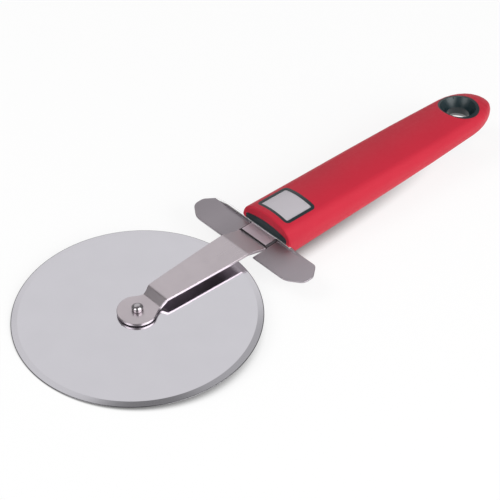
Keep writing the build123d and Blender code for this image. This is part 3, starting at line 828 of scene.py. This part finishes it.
def guard_heights(size, x, y, fore, aft):
    """Heights of the guard's top and base faces: the wings' level, eased up over and under the bridge, the
    lip's ramp with its steep front face, and a quarter circle of rounding along every sheared edge."""
    over_offset, over_width, under_offset, under_width = 0.05, 0.6, 0.62, 0.35
    lip_depth, lip_face, under_lip_depth, under_lip_share = 1.3, 0.34, 0.7, 0.3
    # The lip fades out towards the tips, earlier on the right wing
    fade_start, fade_width = np.where(y < 0, 9.0, 20.0), np.where(y < 0, 12.0, 7.5)
    aside = np.abs(y)
    rear_line = np.concatenate([aft, [(size.rear, 0.0)]])
    edge_line = np.concatenate([[(size.notch_end, 0.0), (size.notch_end, size.notch_half),
                                 (size.front, size.notch_half)], fore, rear_line])
    near_edge, near_rear = distance_to(edge_line, x, aside), distance_to(rear_line, x, aside)
    roll = size.edge - np.sqrt(np.maximum(size.edge ** 2 - np.maximum(size.edge - near_edge, 0) ** 2, 0))
    over = size.bridge_rise * ease((size.bridge_half + over_offset - aside) / over_width)
    under = size.bridge_rise * ease((size.bridge_half - under_offset - aside) / under_width)
    wing_top = size.wing_base + size.sheet
    lip_share = np.clip((x - size.lip_start) / (size.lip_full - size.lip_start), 0, 1)
    lip_rise = (size.lip_top - wing_top) * lip_share * (1 - ease((aside - fade_start) / fade_width))
    stand = ease((lip_depth - near_rear) / lip_face)
    top = wing_top + over + stand * np.maximum(lip_rise - over, 0) - roll
    under_lip = under_lip_share * lip_rise * ease((under_lip_depth - near_rear) / under_lip_depth)
    return top, size.wing_base + under + under_lip + roll


class PIZZA_OT_guard(bpy.types.Operator):
    """Press the finger guard: two wings, a notch for the arm, a bridge over the tang and an upturned lip"""
    bl_idname = "pizza.guard"
    bl_label = "Guard"

    def execute(self, context):
        size = in_millimetres(context.scene.pizza_guard)
        fore, aft = guard_edges(size)
        x, y, fore_columns = guard_grid(size, fore, aft)
        reach = np.abs(y[:, 0])
        kept = np.ones((x.shape[0] - 1, x.shape[1] - 1), bool)
        in_notch = np.maximum(reach[:-1], reach[1:]) <= size.notch_half + 1e-6
        kept[in_notch, :fore_columns] = False
        points = np.concatenate([np.stack([x, y, height], -1).reshape(-1, 3)
                                 for height in guard_heights(size, x, y, fore, aft)])
        piece = add_mesh("finger_guard", points, slab_faces(kept), "frame", "guard")
        set_material(piece, pressed_stainless_sheet(size.steel))
        return {"FINISHED"}


class PIZZA_OT_handle(bpy.types.Operator):
    """Finish the handle's soft skin, hard core, badge plate and adhesive pad"""
    bl_idname = "pizza.handle"
    bl_label = "Handle"

    def execute(self, context):
        colours = context.scene.pizza_handle
        set_material(frame["nodes"]["grip_skin"], soft_touch_rubber(colours.skin))
        set_material(frame["nodes"]["handle_core"], glossy_moulded_abs(colours.core))
        set_material(frame["nodes"]["badge_plate"], satin_anodised_aluminium(colours.plate))
        set_material(frame["nodes"]["badge_pad"], acrylic_foam_tape(colours.foam))
        return {"FINISHED"}


def towards(azimuth, height):
    """The direction at an azimuth from the handle's way and a height above the blade's plane, in degrees."""
    azimuth, height = np.radians((azimuth, height))
    return (np.cos(height) * np.cos(azimuth) * ALONG + np.cos(height) * np.sin(azimuth) * ACROSS
            + np.sin(height) * UPRIGHT)


def add_camera(scene):
    """Stand the camera where the photograph's rim, eye, guard and handle all fit: at its elevation, bearing
    and distance from the blade's centre, which it sees to the left of the picture's middle and below it."""
    elevation, bearing, roll = np.radians((41.85, -42.9, -0.11))
    focal_px, image_px, centre_px = 1529.18, 500.0, (248.86, 250.15)
    distance, aside_px, above_px = 573.82, -111.07, 63.42
    back = np.array([np.sin(bearing) * np.cos(elevation), -np.cos(bearing) * np.cos(elevation),
                     np.sin(elevation)])
    level = np.array([np.cos(bearing), np.sin(bearing), 0])
    lift = np.cross(back, level)
    right = np.cos(roll) * level + np.sin(roll) * lift
    up = -np.sin(roll) * level + np.cos(roll) * lift
    stand = (-aside_px * right + above_px * up) * distance / focal_px + distance * back
    lens = bpy.data.cameras.new("photo_camera")
    lens.sensor_width = 36.0
    lens.lens = lens.sensor_width * focal_px / image_px
    lens.shift_x = (image_px / 2 - centre_px[0]) / image_px
    lens.shift_y = (centre_px[1] - image_px / 2) / image_px
    lens.clip_start, lens.clip_end = 0.01, 20.0
    camera = bpy.data.objects.new("photo_camera", lens)
    pose = np.eye(4)
    pose[:3, :3] = np.column_stack([ALONG, ACROSS, UPRIGHT]) @ np.column_stack([right, up, back])
    pose[:3, 3] = to_table(stand)
    camera.matrix_world = Matrix(pose.tolist())
    scene.collection.objects.link(camera)
    scene.camera = camera


def add_table(scene):
    """Lay the white table top under the tool."""
    reach = 3.0
    mesh = bpy.data.meshes.new("table_top")
    mesh.from_pydata([(-reach, -reach, 0), (reach, -reach, 0), (reach, reach, 0), (-reach, reach, 0)], [],
                     [(0, 1, 2, 3)])
    table = bpy.data.objects.new("table_top", mesh)
    scene.collection.objects.link(table)
    set_material(table, matt_white_laminate())


def add_studio(scene):
    """Surround the tool with a white studio. The camera sees it plain white, matt surfaces see an even grey,
    and mirrors see a darker room with soft bright patches, which draw the steel's highlights."""
    level, mirrored = 0.42, 0.26
    # Each patch has its azimuth and height, the angles from its middle where it ends and where it is full,
    # and how much brighter than the room it is
    patches = (((52, 33), 25, 16, 0.66), ((76, 50), 17, 11, 0.62), ((28, 53), 14, 6, 0.3),
               ((-75, 42), 32, 22, 3.4), ((178, 42), 22, 10, 3.0))
    world = bpy.data.worlds.new("studio")
    scene.world = world
    world.use_nodes = True
    tree = world.node_tree
    tree.nodes.clear()
    seen = add_node(tree, "ShaderNodeLightPath")
    ray = add_node(tree, "ShaderNodeTexCoord")
    bright = 0.0
    for where, end, full, gain in patches:
        facing = add_node(tree, "ShaderNodeVectorMath", {"operation": "DOT_PRODUCT",
                                                         0: ray.outputs["Generated"],
                                                         1: tuple(towards(*where))})
        patch = add_node(tree, "ShaderNodeMapRange", {"interpolation_type": "SMOOTHSTEP",
                                                      "From Min": float(np.cos(np.radians(end))),
                                                      "From Max": float(np.cos(np.radians(full))),
                                                      "To Min": mirrored, "To Max": mirrored + gain,
                                                      "Value": facing.outputs["Value"]})
        bright = add_node(tree, "ShaderNodeMath", {"operation": "MAXIMUM", 0: patch.outputs["Result"],
                                                   1: bright}).outputs["Value"]
    shine = add_node(tree, "ShaderNodeMix", {"data_type": "FLOAT", 0: seen.outputs["Is Glossy Ray"], 2: level,
                                             3: bright})
    white = add_node(tree, "ShaderNodeMath", {"operation": "MAXIMUM", 0: shine.outputs[0],
                                              1: seen.outputs["Is Camera Ray"]})
    sky = add_node(tree, "ShaderNodeBackground", {"Color": linear("#FFFFFF"),
                                                  "Strength": white.outputs["Value"]})
    add_node(tree, "ShaderNodeOutputWorld", {"Surface": sky.outputs["Background"]})


def add_lamps(scene):
    """Hang three square soft boxes that face the tool. Mirrors see the studio's own patches instead."""
    away = 1.1
    for name, azimuth, height, size, power in (("key_softbox", 130, 52, 0.55, 2.5),
                                               ("side_softbox", -75, 22, 0.8, 7.4),
                                               ("front_softbox", -140, 30, 0.8, 2.5)):
        lamp = bpy.data.lights.new(name, "AREA")
        lamp.shape = "SQUARE"
        lamp.size = size
        lamp.energy = power
        rig = bpy.data.objects.new(name, lamp)
        rig.location = Vector(towards(azimuth, height)) * away
        rig.rotation_euler = Vector(-towards(azimuth, height)).to_track_quat("-Z", "Y").to_euler()
        rig.visible_glossy = False
        scene.collection.objects.link(rig)


class PIZZA_OT_stage(bpy.types.Operator):
    """Set the camera, the white table, the studio and the lamps"""
    bl_idname = "pizza.stage"
    bl_label = "Stage"

    def execute(self, context):
        scene = context.scene
        scene.view_settings.view_transform = "Standard"
        for add in (add_camera, add_table, add_studio, add_lamps):
            add(scene)
        return {"FINISHED"}


class PIZZA_PT_panel(bpy.types.Panel):
    """List the operators in the order in which they build the tool"""
    bl_idname = "PIZZA_PT_panel"
    bl_label = "Pizza Cutter"
    bl_space_type = "VIEW_3D"
    bl_region_type = "UI"
    bl_category = "Pizza Cutter"

    def draw(self, context):
        for operator in OPERATORS:
            self.layout.operator(operator.bl_idname)


GROUPS = {"pizza_blade": BladeSizes, "pizza_rivet": RivetSizes, "pizza_arm": ArmSizes,
          "pizza_guard": GuardSizes, "pizza_handle": HandleColours}
OPERATORS = (PIZZA_OT_blade, PIZZA_OT_axle, PIZZA_OT_arm, PIZZA_OT_guard, PIZZA_OT_handle, PIZZA_OT_stage)
CLASSES = (*GROUPS.values(), *OPERATORS, PIZZA_PT_panel)


def register():
    for kind in CLASSES:
        bpy.utils.register_class(kind)
    for name, group in GROUPS.items():
        setattr(bpy.types.Scene, name, PointerProperty(type=group))


def unregister():
    for name in GROUPS:
        delattr(bpy.types.Scene, name)
    for kind in reversed(CLASSES):
        bpy.utils.unregister_class(kind)


def main():
    register()
    bpy.ops.pizza.blade()
    bpy.ops.pizza.axle()
    bpy.ops.pizza.arm()
    bpy.ops.pizza.guard()
    bpy.ops.pizza.handle()
    bpy.ops.pizza.stage()


if __name__ == "__main__":
    main()
